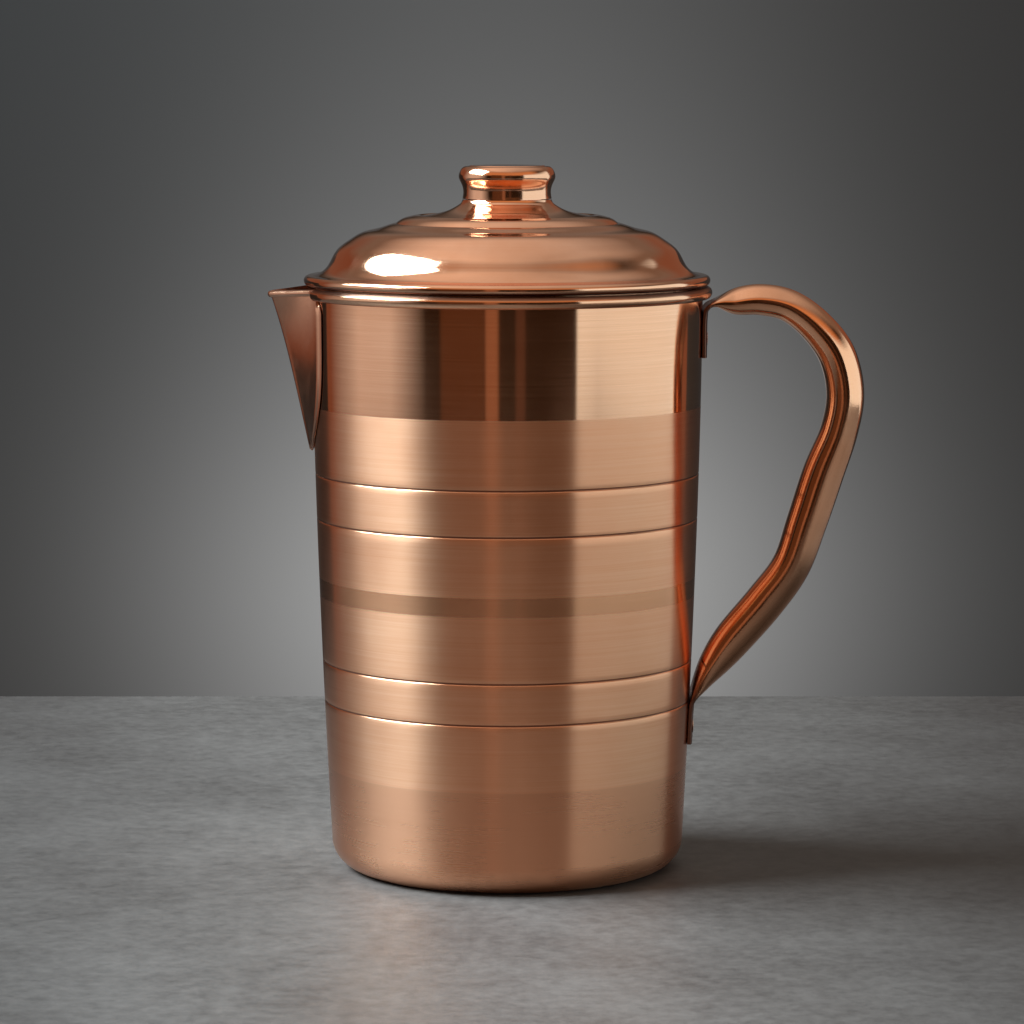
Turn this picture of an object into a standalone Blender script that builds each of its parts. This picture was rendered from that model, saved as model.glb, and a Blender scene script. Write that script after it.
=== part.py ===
"""Copper water jug with a lift-off lid, as an assembly of its separate pieces.

Metres, +Z up. The jug stands on z = 0 with its axis on the Z axis, the spout points to -X and the
handle to +X. The body is one drawn cup whose rim is rolled over a wire; the spout is a folded sheet
soldered over a notch in the wall; the handle is a rolled tube, flattened into a riveted tab at each
end; the lid is a spun dome with a locating collar below and a spun knob above.
"""

import math

import bmesh
import bpy
from mathutils import Vector

MM = 0.001

# Sheet, clearances and fineness
SHEET = 0.8 * MM
GAP = 0.3 * MM              # between pieces that touch
PAST = 5.0 * MM             # how far a cutter runs past what it cuts
SEGMENTS = 40               # round the jug's axis

# Body
RIM_RADIUS = 63.75 * MM     # outside of the wall under the rolled rim
TAPER = 6.4 * MM            # how much narrower the wall would be at the very bottom
TAPER_POWER = 1.6           # the wall leans most at the bottom and stands upright at the rim
BODY_HEIGHT = 191.0 * MM    # top of the rolled rim
BASE_CORNER = 9.5 * MM      # outside radius between wall and base
WIRE_RADIUS = 0.8 * MM      # wire that the rim is rolled over
WIRE_FIT = 0.35 * MM        # between the wire and the roll
RIM_ROLL = WIRE_RADIUS + WIRE_FIT + SHEET   # outside radius of the rolled rim

# Spout
SPOUT_REACH = 14.65 * MM    # tip of the lip beyond the wall at the rim
SPOUT_HEIGHT = 53.0 * MM    # from the lip down to the lowest point of the soldered seam
SPOUT_HALF_ANGLE = math.radians(19.05)  # seam each side of the spout's middle, at the rim
SPOUT_FLANGE = 3.0 * MM     # soldered lap along the seam
SPOUT_DROOP = 1.4 * MM      # the tip is this much lower than the rim
SPOUT_NOSE = 1.3 * MM       # half width of the rounded fold at the front
RIM_LAP = 0.3 * MM          # lap left where the spout passes through the rim
NOTCH_SOLE = 13.1 * MM      # wall left between the spout's foot and the V-shaped pouring notch
NOTCH_POINT = 1.0 * MM      # half width of the notch at its bottom

# Handle
HANDLE_REACH = 47.05 * MM   # furthest point of the centre line beyond the wall at the rim
HANDLE_WIDTH = 15.0 * MM    # across, along Y
HANDLE_DEPTH = 12.4 * MM    # across the tube in the handle's own plane, at its furthest point
TAB_WIDTH = 18.0 * MM
TAB_THICK = 2 * SHEET       # the tube pressed flat
UPPER_TAB_DROP = 10.5 * MM  # from the top of the rim down to the top of the upper tab
UPPER_TAB_LENGTH = 12.5 * MM
LOWER_TAB_RISE = 41.0 * MM  # from the base up to the bottom of the lower tab
LOWER_TAB_LENGTH = 11.5 * MM
UPPER_TAB = (BODY_HEIGHT - UPPER_TAB_DROP - UPPER_TAB_LENGTH, BODY_HEIGHT - UPPER_TAB_DROP)
LOWER_TAB = (LOWER_TAB_RISE, LOWER_TAB_RISE + LOWER_TAB_LENGTH)
HANDLE_SIDES = 12
SEAM = 0.8 * MM             # open seam along the tube's inner side
RIVET_RADIUS = 1.5 * MM
RIVET_HEAD = 2.8 * MM       # radius of the domed head inside the jug
RIVET_DOME = 0.95 * MM      # height of that head
RIVET_FLUSH = 0.05 * MM     # how far the outer end sits below the tab's face
RIVET_SPREAD = 5.0 * MM     # each rivet from the handle's middle plane

# Lid
LID_INSET = 0.65 * MM       # the brim stops this far inside the edge of the rolled rim
LID_ROLL = 1.65 * MM        # outside radius of the rolled brim
COLLAR_FIT = 0.6 * MM       # radial play of the collar in the mouth
COLLAR_DEPTH = 7.0 * MM     # how far the collar hangs below the rim
SHOULDER_RISE = 15.2 * MM   # from the brim up to the outer edge of the raised ring
NECK_RISE = 9.6 * MM        # from there up to the seam below the knob
NECK_RADIUS = 14.5 * MM
SPIGOT_RISE = 3.0 * MM      # the neck goes this far up inside the knob
KNOB_HEIGHT = 10.8 * MM
KNOB_RADIUS = 15.75 * MM
KNOB_SEGMENTS = 32

COPPER = {
    "jug_body": ((0.80, 0.42, 0.27), 0.28),
    "rim_wire": ((0.72, 0.36, 0.22), 0.45),
    "spout": ((0.76, 0.38, 0.25), 0.18),
    "handle": ((0.76, 0.37, 0.22), 0.12),
    "rivet": ((0.72, 0.36, 0.22), 0.35),
    "lid_dome": ((0.82, 0.46, 0.33), 0.10),
    "lid_collar": ((0.74, 0.38, 0.24), 0.35),
    "knob": ((0.82, 0.45, 0.31), 0.10),
}


# ---------------------------------------------------------------- scene and helpers

def clear_scene():
    for obj in list(bpy.data.objects):
        bpy.data.objects.remove(obj, do_unlink=True)


def new_collection(name):
    collection = bpy.data.collections.new(name)
    bpy.context.scene.collection.children.link(collection)
    return collection


def copper(name, finish):
    """A copper Principled BSDF; finish picks the colour and roughness."""
    colour, roughness = COPPER[finish]
    material = bpy.data.materials.new(name + "_copper")
    material.use_nodes = True
    shader = material.node_tree.nodes["Principled BSDF"]
    shader.inputs["Base Color"].default_value = (*colour, 1.0)
    shader.inputs["Metallic"].default_value = 1.0
    shader.inputs["Roughness"].default_value = roughness
    return material


def add_mesh(name, mesh, collection, finish=None):
    obj = bpy.data.objects.new(name, mesh)
    collection.objects.link(obj)
    if finish:
        mesh.materials.append(copper(name, finish))
    return obj


def as_cutter(obj):
    obj.hide_render = True
    obj.display_type = "WIRE"
    return obj


def cut(obj, cutter):
    """Take the cutter's shape out of the object."""
    boolean = obj.modifiers.new("cut " + cutter.name, "BOOLEAN")
    boolean.operation = "DIFFERENCE"
    boolean.solver = "EXACT"
    boolean.object = cutter


def turned(name, profile, finish, segments=SEGMENTS, closed=False):
    """A spun piece: (radius, height) points, running down the outer side, turned round the axis."""
    mesh = bpy.data.meshes.new(name)
    edges = [(i, i + 1) for i in range(len(profile) - 1)]
    if closed:
        edges.append((len(profile) - 1, 0))
    mesh.from_pydata([(radius, 0.0, height) for radius, height in profile], edges, [])
    obj = add_mesh(name, mesh, PARTS, finish)
    screw = obj.modifiers.new("turn", "SCREW")
    screw.axis = "Z"
    screw.steps = segments
    screw.render_steps = segments
    screw.use_merge_vertices = True
    screw.merge_threshold = 0.00001
    screw.use_smooth_shade = True
    return obj


def arc(centre, radius, start, end, steps):
    """Points round a centre (radius, height) from one angle to another, in degrees."""
    points = []
    for step in range(steps + 1):
        angle = math.radians(start + (end - start) * step / steps)
        points.append((centre[0] + radius * math.cos(angle), centre[1] + radius * math.sin(angle)))
    return points


def inner_side(outer, thickness):
    """The points of a sheet's inner side, in the same order, for an outer side that runs downwards."""
    inner = []
    for i, (radius, height) in enumerate(outer):
        before = outer[max(i - 1, 0)]
        after = outer[min(i + 1, len(outer) - 1)]
        along = Vector((after[0] - before[0], after[1] - before[1])).normalized()
        if radius == 0.0:
            along = Vector((1.0, 0.0))
        inner.append((radius + along.y * thickness, height - along.x * thickness))
    return inner


def loft(name, rings, collection, finish=None):
    """A closed body through rings of equal point count, with a flat cap at each end."""
    bm = bmesh.new()
    rows = [[bm.verts.new(point) for point in ring] for ring in rings]
    count = len(rows[0])
    for row, following in zip(rows, rows[1:]):
        for i in range(count):
            j = (i + 1) % count
            bm.faces.new((row[i], row[j], following[j], following[i]))
    bm.faces.new(rows[0][::-1])
    bm.faces.new(rows[-1])
    bmesh.ops.recalc_face_normals(bm, faces=bm.faces)
    mesh = bpy.data.meshes.new(name)
    bm.to_mesh(mesh)
    bm.free()
    mesh.shade_smooth()
    mesh.set_sharp_from_angle(angle=math.radians(40))
    return add_mesh(name, mesh, collection, finish)


def through(points, position):
    """A smooth curve (Catmull-Rom) through points of any dimension, at 0 to len(points) - 1."""
    index = min(int(position), len(points) - 2)
    t = position - index
    p1 = Vector(points[index])
    p2 = Vector(points[index + 1])
    p0 = Vector(points[index - 1]) if index else 2 * p1 - p2
    p3 = Vector(points[index + 2]) if index + 2 < len(points) else 2 * p2 - p1
    return 0.5 * (2 * p1 + (p2 - p0) * t + (2 * p0 - 5 * p1 + 4 * p2 - p3) * t ** 2
                  + (3 * p1 - p0 - 3 * p2 + p3) * t ** 3)


# ---------------------------------------------------------------- body

ROLL_CENTRE = (RIM_RADIUS - SHEET + RIM_ROLL, BODY_HEIGHT - RIM_ROLL)
WALL_TOP = ROLL_CENTRE[1]
ROLL_BOTTOM = ROLL_CENTRE[1] - RIM_ROLL
ROLL_END = -115             # the roll stops this far round, in degrees, just clear of the wall


def wall_radius(height):
    """Outside radius of the wall: tapered below, upright at the rim."""
    below = max(WALL_TOP - height, 0.0) / WALL_TOP
    return RIM_RADIUS - TAPER * below ** TAPER_POWER


def spout_gap():
    """Half width of the gap that the spout's lip needs in the rolled rim."""
    edge = SPOUT_HALF_ANGLE + RIM_LAP / (RIM_RADIUS + GAP)
    return (RIM_RADIUS + GAP + SHEET) * math.sin(edge) + GAP


def make_body():
    corner_height = BASE_CORNER
    corner = (wall_radius(corner_height) - BASE_CORNER, corner_height)
    levels = [corner_height + (WALL_TOP - corner_height) * i / 7 for i in range(8)]
    inner_corner = arc(corner, BASE_CORNER - SHEET, -90, 0, 4)
    inner_wall = [(wall_radius(height) - SHEET, height) for height in levels[1:-1]]
    outer_roll = arc(ROLL_CENTRE, RIM_ROLL, 180, ROLL_END, 10)
    inner_roll = arc(ROLL_CENTRE, RIM_ROLL - SHEET, ROLL_END, 180, 7)
    outer_wall = [(wall_radius(height), height) for height in reversed(levels[1:-1])]
    outer_corner = arc(corner, BASE_CORNER, 0, -90, 5)
    profile = ([(0.0, SHEET)] + inner_corner + inner_wall + outer_roll + inner_roll + outer_wall
               + outer_corner + [(0.0, 0.0)])
    body = turned("jug_body", profile, "jug_body")
    cut(body, make_rim_cutter())
    cut(body, make_notch_cutter())
    for cutter in make_rivet_holes():
        cut(body, cutter)
    return body


def make_rim_cutter():
    """Opens the rolled rim where the spout's lip leaves it."""
    bpy.ops.mesh.primitive_cube_add(size=1.0)
    cutter = bpy.context.object
    move_to(cutter, CUTTERS, "rim_gap")
    low = ROLL_BOTTOM - GAP
    high = BODY_HEIGHT + PAST
    near = RIM_RADIUS * math.cos(SPOUT_HALF_ANGLE) - PAST
    far = RIM_RADIUS + 2 * RIM_ROLL + PAST
    cutter.scale = (far - near, 2 * spout_gap(), high - low)
    cutter.location = (-(near + far) / 2, 0.0, (low + high) / 2)
    return as_cutter(cutter)


def make_notch_cutter():
    """The pouring notch behind the spout: a V that opens upwards into the gap in the rim."""
    top = BODY_HEIGHT + PAST
    bottom = BODY_HEIGHT - SPOUT_HEIGHT + NOTCH_SOLE
    half = 0.78 * RIM_RADIUS * math.sin(SPOUT_HALF_ANGLE)
    point = NOTCH_POINT
    rings = []
    for x in (-RIM_RADIUS - 2 * PAST, -RIM_RADIUS * math.cos(SPOUT_HALF_ANGLE) + 2 * PAST):
        rings.append([(x, -half, top), (x, half, top), (x, point, bottom), (x, -point, bottom)])
    return as_cutter(loft("pouring_notch", rings, CUTTERS))


def make_rim_wire():
    """The wire that the rim is rolled over, stopping either side of the spout."""
    radius = ROLL_CENTRE[0]
    stop = math.asin((spout_gap() + SHEET) / radius)
    rings = []
    for step in range(SEGMENTS + 1):
        around = math.pi + stop + (2 * math.pi - 2 * stop) * step / SEGMENTS
        ring = []
        for side in range(8):
            turn = 2 * math.pi * side / 8
            reach = radius + WIRE_RADIUS * math.cos(turn)
            height = ROLL_CENTRE[1] + WIRE_RADIUS * math.sin(turn)
            ring.append((reach * math.cos(around), reach * math.sin(around), height))
        rings.append(ring)
    return loft("rim_wire", rings, PARTS, "rim_wire")


def move_to(obj, collection, name):
    """Name a primitive and put it in one collection only."""
    obj.name = name
    obj.data.name = name
    for other in list(obj.users_collection):
        other.objects.unlink(obj)
    collection.objects.link(obj)


# ---------------------------------------------------------------- spout

def spout_edge(height):
    """Distance of the spout's front fold from the axis: a straight slope that flares at the lip."""
    top = BODY_HEIGHT - SPOUT_DROOP
    bottom = BODY_HEIGHT - SPOUT_HEIGHT
    rise = (height - bottom) / (top - bottom)
    foot = wall_radius(bottom) + 3 * GAP
    tip = RIM_RADIUS + SPOUT_REACH - SHEET
    return foot + (tip - foot) * (0.86 * rise + 0.14 * rise ** 4)


def seam_angle(height):
    """Half angle of the soldered seam: wide over most of the height and pointed at the foot."""
    below = (BODY_HEIGHT - height) / SPOUT_HEIGHT
    return SPOUT_HALF_ANGLE * (1 - 0.97 * below ** 5)


def make_spout():
    """A folded sheet: lap, side, rounded nose, side, lap, from the foot up to the lip."""
    bm = bmesh.new()
    bottom = BODY_HEIGHT - SPOUT_HEIGHT
    top = BODY_HEIGHT - GAP / 3
    narrow = ROLL_BOTTOM - 2 * GAP
    wide = narrow - SPOUT_FLANGE
    heights = [bottom + (wide - bottom) * share for share in (0.0, 0.14, 0.31, 0.48, 0.66, 0.83, 1.0)]
    heights += [narrow, (narrow + top) / 2, top]
    rows = []
    for height in heights:
        tip_height = bottom + (BODY_HEIGHT - SPOUT_DROOP - bottom) * (height - bottom) / (top - bottom)
        radius = wall_radius(height) + GAP
        angle = seam_angle(height)
        lap = (SPOUT_FLANGE if height < narrow else RIM_LAP) / radius
        edge = spout_edge(tip_height)
        seam = (radius * math.cos(angle), radius * math.sin(angle))
        nose = min(SPOUT_NOSE, seam[1] / 2)
        side = []
        side.append((radius * math.cos(angle + lap), radius * math.sin(angle + lap), height))
        side.append((seam[0], seam[1], height))
        for part in (0.35, 0.7):
            across = seam[1] + (nose - seam[1]) * part
            forward = seam[0] + (edge - 0.4 * nose - seam[0]) * part
            side.append((forward, across, height + (tip_height - height) * part))
        side.append((edge - 0.4 * nose, nose, tip_height))
        middle = [(edge, 0.0, tip_height)]
        mirrored = [(x, -y, z) for x, y, z in reversed(side)]
        rows.append([bm.verts.new((-x, y, z)) for x, y, z in side + middle + mirrored])
    for row, above in zip(rows, rows[1:]):
        for i in range(len(row) - 1):
            bm.faces.new((row[i], row[i + 1], above[i + 1], above[i]))
    mesh = bpy.data.meshes.new("spout")
    bm.to_mesh(mesh)
    bm.free()
    spout = add_mesh("spout", mesh, PARTS, "spout")
    solidify = spout.modifiers.new("sheet", "SOLIDIFY")
    solidify.thickness = SHEET
    solidify.offset = 1.0
    solidify.use_even_offset = True
    return spout


# ---------------------------------------------------------------- handle

def tab_centre(height):
    """Distance of a tab's middle layer from the axis."""
    return wall_radius(height) + GAP + TAB_THICK / 2


def handle_stations():
    """Centre line and section: (x, z, half thickness, half width, squareness)."""
    flat = TAB_THICK / 2
    tab = TAB_WIDTH / 2
    wide = HANDLE_WIDTH / 2
    deep = HANDLE_DEPTH / 2
    low, high = UPPER_TAB
    foot, ankle = LOWER_TAB
    upper = tab_centre(high)
    lower = tab_centre(foot)
    span = RIM_RADIUS + HANDLE_REACH - upper
    drop = high - ankle
    return [
        (tab_centre(low), low, flat, tab, 6.0),
        (upper, high, flat, tab, 6.0),
        (upper + 0.5 * TAB_THICK, high + 0.028 * drop, flat, tab, 5.0),
        (upper + 0.074 * span, high + 0.039 * drop, 1.6 * flat, 1.1 * wide, 3.5),
        (upper + 0.204 * span, high + 0.042 * drop, 0.68 * deep, wide, 2.0),
        (upper + 0.391 * span, high + 0.047 * drop, 0.82 * deep, wide, 2.0),
        (upper + 0.596 * span, high + 0.031 * drop, 0.855 * deep, wide, 2.0),
        (upper + 0.787 * span, high - 0.020 * drop, 0.92 * deep, wide, 2.0),
        (upper + 0.939 * span, high - 0.094 * drop, 0.985 * deep, wide, 2.0),
        (upper + span, high - 0.191 * drop, deep, wide, 2.0),
        (upper + 0.959 * span, high - 0.289 * drop, deep, wide, 2.0),
        (upper + 0.848 * span, high - 0.398 * drop, 1.1 * deep, wide, 2.0),
        (upper + 0.735 * span, high - 0.523 * drop, 1.08 * deep, wide, 2.0),
        (upper + 0.622 * span, ankle + 0.3625 * drop, 1.03 * deep, wide, 2.0),
        (upper + 0.437 * span, ankle + 0.269 * drop, 1.065 * deep, wide, 2.0),
        (lower + 0.313 * span, ankle + 0.177 * drop, 1.03 * deep, wide, 2.0),
        (lower + 0.183 * span, ankle + 0.116 * drop, 0.84 * deep, wide, 2.0),
        (lower + 0.083 * span, ankle + 0.0625 * drop, 0.48 * deep, 1.05 * wide, 2.6),
        (lower + 0.029 * span, ankle + 0.027 * drop, 1.4 * flat, tab, 4.5),
        (tab_centre(ankle), ankle, flat, tab, 6.0),
        (lower, foot, flat, tab, 6.0),
    ]


def section(stations, position, shrink=0.0, seam=0.0):
    """One ring round the centre line; with a seam it becomes a keyhole open towards the jug."""
    x, z, thick, wide, square = through(stations, position)
    before = through(stations, max(position - 0.01, 0.0))
    after = through(stations, min(position + 0.01, len(stations) - 1))
    along = Vector((after[0] - before[0], 0.0, after[1] - before[1])).normalized()
    outward = Vector((-along.z, 0.0, along.x))
    centre = Vector((x, 0.0, z))
    ring = []
    for side in range(HANDLE_SIDES):
        turn = 2 * math.pi * (side + 0.5) / HANDLE_SIDES + math.pi
        out, across = math.cos(turn), math.sin(turn)
        out = math.copysign(abs(out) ** (2 / square), out) * (thick - shrink)
        across = math.copysign(abs(across) ** (2 / square), across) * (wide - shrink)
        ring.append(centre + outward * out + Vector((0.0, across, 0.0)))
    if seam:
        for across in (seam / 2, -seam / 2):
            ring.append(centre - outward * (thick - shrink) * 0.9 + Vector((0.0, across, 0.0)))
            ring.append(centre - outward * (thick + SHEET) + Vector((0.0, across, 0.0)))
        ring[-2], ring[-1] = ring[-1], ring[-2]
    return ring


def make_handle():
    """A tube rolled from sheet, seam towards the jug, pressed flat at both ends."""
    stations = handle_stations()
    last = len(stations) - 1
    rings = [section(stations, i / 2) for i in range(2 * last + 1)]
    first_hollow, last_hollow = 3.7, last - 3.7
    steps = round(2 * (last_hollow - first_hollow))
    hollow = []
    for step in range(steps + 1):
        position = first_hollow + (last_hollow - first_hollow) * step / steps
        hollow.append(section(stations, position, shrink=SHEET, seam=SEAM))
    handle = loft("handle", rings, PARTS, "handle")
    for cutter in make_rivet_sinks():
        cut(handle, cutter)
    cut(handle, as_cutter(loft("handle_bore", hollow, CUTTERS)))
    return handle


# ---------------------------------------------------------------- rivets

def rivet_places():
    """(name, height, side) of every rivet."""
    places = []
    for tab, (low, high) in (("upper", UPPER_TAB), ("lower", LOWER_TAB)):
        for number, side in ((1, -1), (2, 1)):
            places.append((f"{tab}_rivet_{number}", (low + high) / 2, side * RIVET_SPREAD))
    return places


def tab_face(height):
    """Outer face of a tab."""
    return wall_radius(height) + GAP + TAB_THICK


def along_x(name, profile, height, side, collection, finish=None):
    """A small turned body on an axis along X, from (x, radius) pairs running inwards."""
    rings = []
    for x, radius in profile:
        ring = []
        for corner in range(12):
            turn = 2 * math.pi * corner / 12
            ring.append((x, side + radius * math.cos(turn), height + radius * math.sin(turn)))
        rings.append(ring)
    return loft(name, rings, collection, finish)


def make_rivet_holes():
    """Plain holes through the wall."""
    holes = []
    for name, height, side in rivet_places():
        outer = wall_radius(height)
        profile = [(outer + PAST, RIVET_RADIUS + GAP), (outer - PAST, RIVET_RADIUS + GAP)]
        holes.append(as_cutter(along_x(name + "_hole", profile, height, side, CUTTERS)))
    return holes


def make_rivet_sinks():
    """Countersunk holes through the tabs."""
    sinks = []
    for name, height, side in rivet_places():
        face = tab_face(height)
        flare = RIVET_RADIUS + GAP + TAB_THICK / 2
        profile = [
            (face + PAST, flare),
            (face, flare),
            (face - TAB_THICK / 2, RIVET_RADIUS + GAP),
            (face - PAST, RIVET_RADIUS + GAP),
        ]
        sinks.append(as_cutter(along_x(name + "_sink", profile, height, side, CUTTERS)))
    return sinks


def make_rivets():
    """Flush outside, a low domed head inside."""
    for name, height, side in rivet_places():
        face = tab_face(height) - RIVET_FLUSH
        inside = (wall_radius(height) - SHEET) * math.cos(math.pi / SEGMENTS)
        reach = RIVET_SPREAD + RIVET_HEAD
        seat = math.sqrt(inside ** 2 - reach ** 2) - GAP
        profile = [
            (face, RIVET_RADIUS + TAB_THICK / 2),
            (face - TAB_THICK / 2, RIVET_RADIUS),
            (seat, RIVET_RADIUS),
            (seat - 0.05 * RIVET_DOME, RIVET_HEAD),
            (seat - 0.58 * RIVET_DOME, 0.86 * RIVET_HEAD),
            (seat - RIVET_DOME, 0.45 * RIVET_HEAD),
        ]
        along_x(name, profile, height, side, PARTS, "rivet")


# ---------------------------------------------------------------- lid

ROLL_SEAT = BODY_HEIGHT + GAP
BRIM_CENTRE = (ROLL_CENTRE[0] + RIM_ROLL - LID_INSET - LID_ROLL, ROLL_SEAT + LID_ROLL)
BRIM_TOP = BRIM_CENTRE[1] + LID_ROLL
SHOULDER = BRIM_TOP + SHOULDER_RISE
NECK_TOP = SHOULDER + NECK_RISE


def lid_outer_side():
    """Neck, concave flare, raised ring, shoulder, then the flat brim, from the neck outwards."""
    span = BRIM_CENTRE[0] - NECK_RADIUS
    flare = [(0.0, 1.0), (0.028, 0.78), (0.092, 0.605), (0.268, 0.428), (0.313, 0.416),
             (0.373, 0.354), (0.429, 0.188), (0.4545, 0.156), (0.5445, 0.0)]
    slope = [(0.648, 0.914), (0.744, 0.73), (0.814, 0.546), (0.848, 0.368), (0.874, 0.21),
             (0.912, 0.079), (0.96, 0.02)]
    return ([(NECK_RADIUS + out * span, SHOULDER + up * NECK_RISE) for out, up in flare]
            + [(NECK_RADIUS + out * span, BRIM_TOP + up * SHOULDER_RISE) for out, up in slope])


def make_lid_dome():
    outer = lid_outer_side()
    inner = inner_side(outer, SHEET)
    spigot = NECK_RADIUS - 2 * SHEET - GAP
    top = NECK_TOP + SPIGOT_RISE - GAP
    neck_outer = [(spigot, top), (spigot, NECK_TOP + 0.1 * MM - GAP)]
    neck_inner = [(spigot - SHEET, top)]
    outer[0] = (NECK_RADIUS, NECK_TOP - GAP)
    inner[0] = (spigot - SHEET, NECK_TOP - GAP - SHEET)
    inner[-1] = (inner[-1][0], BRIM_TOP - SHEET)
    roll_out = arc(BRIM_CENTRE, LID_ROLL, 90, -165, 9)
    roll_in = arc(BRIM_CENTRE, LID_ROLL - SHEET, -165, 90, 5)
    profile = neck_outer + outer + roll_out + roll_in + inner[::-1] + neck_inner
    return turned("lid_dome", profile, "lid_dome", closed=True)


def make_lid_collar():
    """A plain ring under the brim that keeps the lid central in the mouth."""
    outside = RIM_RADIUS - SHEET - COLLAR_FIT
    inside = outside - SHEET
    top = BRIM_TOP - SHEET - GAP
    bottom = BODY_HEIGHT - COLLAR_DEPTH
    profile = [(outside, top), (outside, bottom), (inside, bottom), (inside, top)]
    return turned("lid_collar", profile, "lid_collar", closed=True)


def make_knob():
    """A spun spool, closed on top, that sits over the lid's neck."""
    top = NECK_TOP + KNOB_HEIGHT
    edge = [(0.75, 0.028), (0.924, 0.1), (0.984, 0.204), (1.0, 0.306), (0.984, 0.407)]
    waist = [(1.02, 0.565), (0.983, 0.796), (1.0, 1.0)]
    outer = [(0.0, top)]
    outer += [(share * KNOB_RADIUS, top - drop * KNOB_HEIGHT) for share, drop in edge]
    outer += [(share * NECK_RADIUS, top - drop * KNOB_HEIGHT) for share, drop in waist]
    inner = inner_side(outer, SHEET)
    inner[-1] = (NECK_RADIUS - SHEET, NECK_TOP)
    return turned("knob", outer + inner[::-1], "knob", segments=KNOB_SEGMENTS)


clear_scene()
PARTS = new_collection("copper_water_jug")
CUTTERS = new_collection("cutters")
make_body()
make_rim_wire()
make_spout()
make_handle()
make_rivets()
make_lid_dome()
make_lid_collar()
make_knob()
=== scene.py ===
"""Copper water jug with a lift-off lid: the finished look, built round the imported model.

Metres, +Z up; the jug stands on z = 0 with its axis on Z, spout to -X, handle to +X.
"""

import math

import bmesh
import bpy
import numpy as np
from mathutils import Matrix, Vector


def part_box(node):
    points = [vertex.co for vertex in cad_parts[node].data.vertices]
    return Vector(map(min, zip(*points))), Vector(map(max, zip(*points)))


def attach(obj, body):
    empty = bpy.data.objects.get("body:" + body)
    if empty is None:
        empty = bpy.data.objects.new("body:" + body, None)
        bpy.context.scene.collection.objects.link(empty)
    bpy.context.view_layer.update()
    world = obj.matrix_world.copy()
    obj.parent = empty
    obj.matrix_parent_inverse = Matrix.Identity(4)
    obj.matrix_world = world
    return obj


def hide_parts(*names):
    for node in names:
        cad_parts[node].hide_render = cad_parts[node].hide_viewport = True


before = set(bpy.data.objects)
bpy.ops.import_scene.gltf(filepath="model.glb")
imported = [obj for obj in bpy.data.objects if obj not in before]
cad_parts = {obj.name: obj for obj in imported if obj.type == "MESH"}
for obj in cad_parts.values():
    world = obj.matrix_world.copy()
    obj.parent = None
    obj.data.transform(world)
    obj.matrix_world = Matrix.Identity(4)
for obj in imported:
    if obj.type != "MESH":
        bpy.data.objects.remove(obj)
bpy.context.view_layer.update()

MM = 0.001

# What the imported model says
BODY_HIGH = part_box("jug_body")[1]
LID_LOW, LID_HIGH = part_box("lid_dome")
KNOB_LOW, KNOB_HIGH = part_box("knob")
COLLAR_LOW, COLLAR_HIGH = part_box("lid_collar")
SPOUT_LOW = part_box("spout")[0]
HANDLE_LOW, HANDLE_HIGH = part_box("handle")

# Sheet and clearance
SHEET = 0.8 * MM
GAP = 0.3 * MM
AROUND = 256                # facets round the jug's axis

# Body
RIM_ROLL = 1.95 * MM        # radius of the rolled rim
BODY_HEIGHT = BODY_HIGH.z
RIM_RADIUS = BODY_HIGH.y - 2 * RIM_ROLL + SHEET
ROLL_CENTRE = (BODY_HIGH.y - RIM_ROLL, BODY_HEIGHT - RIM_ROLL)
ROLL_BOTTOM = ROLL_CENTRE[1] - RIM_ROLL
TAPER = 6.4 * MM
TAPER_POWER = 1.6
BASE_CORNER = 9.5 * MM
LINE_WIDTH = 0.85 * MM      # engraved lines
LINE_DEPTH = 0.34 * MM
LINES = [55.5 * MM, 68.8 * MM, 115.4 * MM, 130.1 * MM]
BRUSHED = (33.9 * MM, 152.4 * MM)       # bottom and top of the brushed belt
STRIPE = (90.3 * MM, 96.3 * MM)         # polished stripe inside it

# Spout
SPOUT_HALF_ANGLE = math.radians(19.05)
SPOUT_FLANGE = 3.0 * MM
SPOUT_DROOP = 1.4 * MM
SPOUT_NOSE = 1.3 * MM
RIM_LAP = 0.3 * MM
SPOUT_ROWS = 40             # rows of faces up the sheet
HEM_ROWS = 14               # and round the hem
HEM_HEIGHT = 2.1 * MM       # rolled hem along the lip
HEM_SWELL = 0.9 * MM
NOTCH_SOLE = 13.1 * MM      # lowest point of the pouring notch above the spout's foot
PAST = 5 * MM               # how far a cutter reaches past what it cuts

# Handle
UPPER_TAB = (168.0 * MM, 180.5 * MM)
LOWER_TAB = (41.0 * MM, 52.5 * MM)
TAB_THICK = 2 * SHEET
TAB_GAP = 0.05 * MM         # the tabs are drawn up close to the wall
TAB_WIDTH = HANDLE_HIGH.y - HANDLE_LOW.y
HANDLE_WIDTH = 15.0 * MM
HANDLE_DEPTH = 12.4 * MM
INNER_SQUARENESS = 2.7      # the side towards the jug is pressed a little flat
OUTER_SQUARENESS = 1.65     # and the far side has two broad faces
RIVET_RADIUS = 1.5 * MM
RIVET_HEAD = 2.8 * MM       # radius of the domed head inside the wall
RIVET_DOME = 0.95 * MM      # and its height
RIVET_SPREAD = 5.0 * MM

# Lid
LID_ROLL = 1.65 * MM
BRIM_CENTRE = (LID_HIGH.y - LID_ROLL, LID_LOW.z + LID_ROLL)
BRIM_TOP = BRIM_CENTRE[1] + LID_ROLL
NECK_TOP = KNOB_LOW.z
NECK_RADIUS = 14.5 * MM


# ---------------------------------------------------------------- node trees

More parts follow.
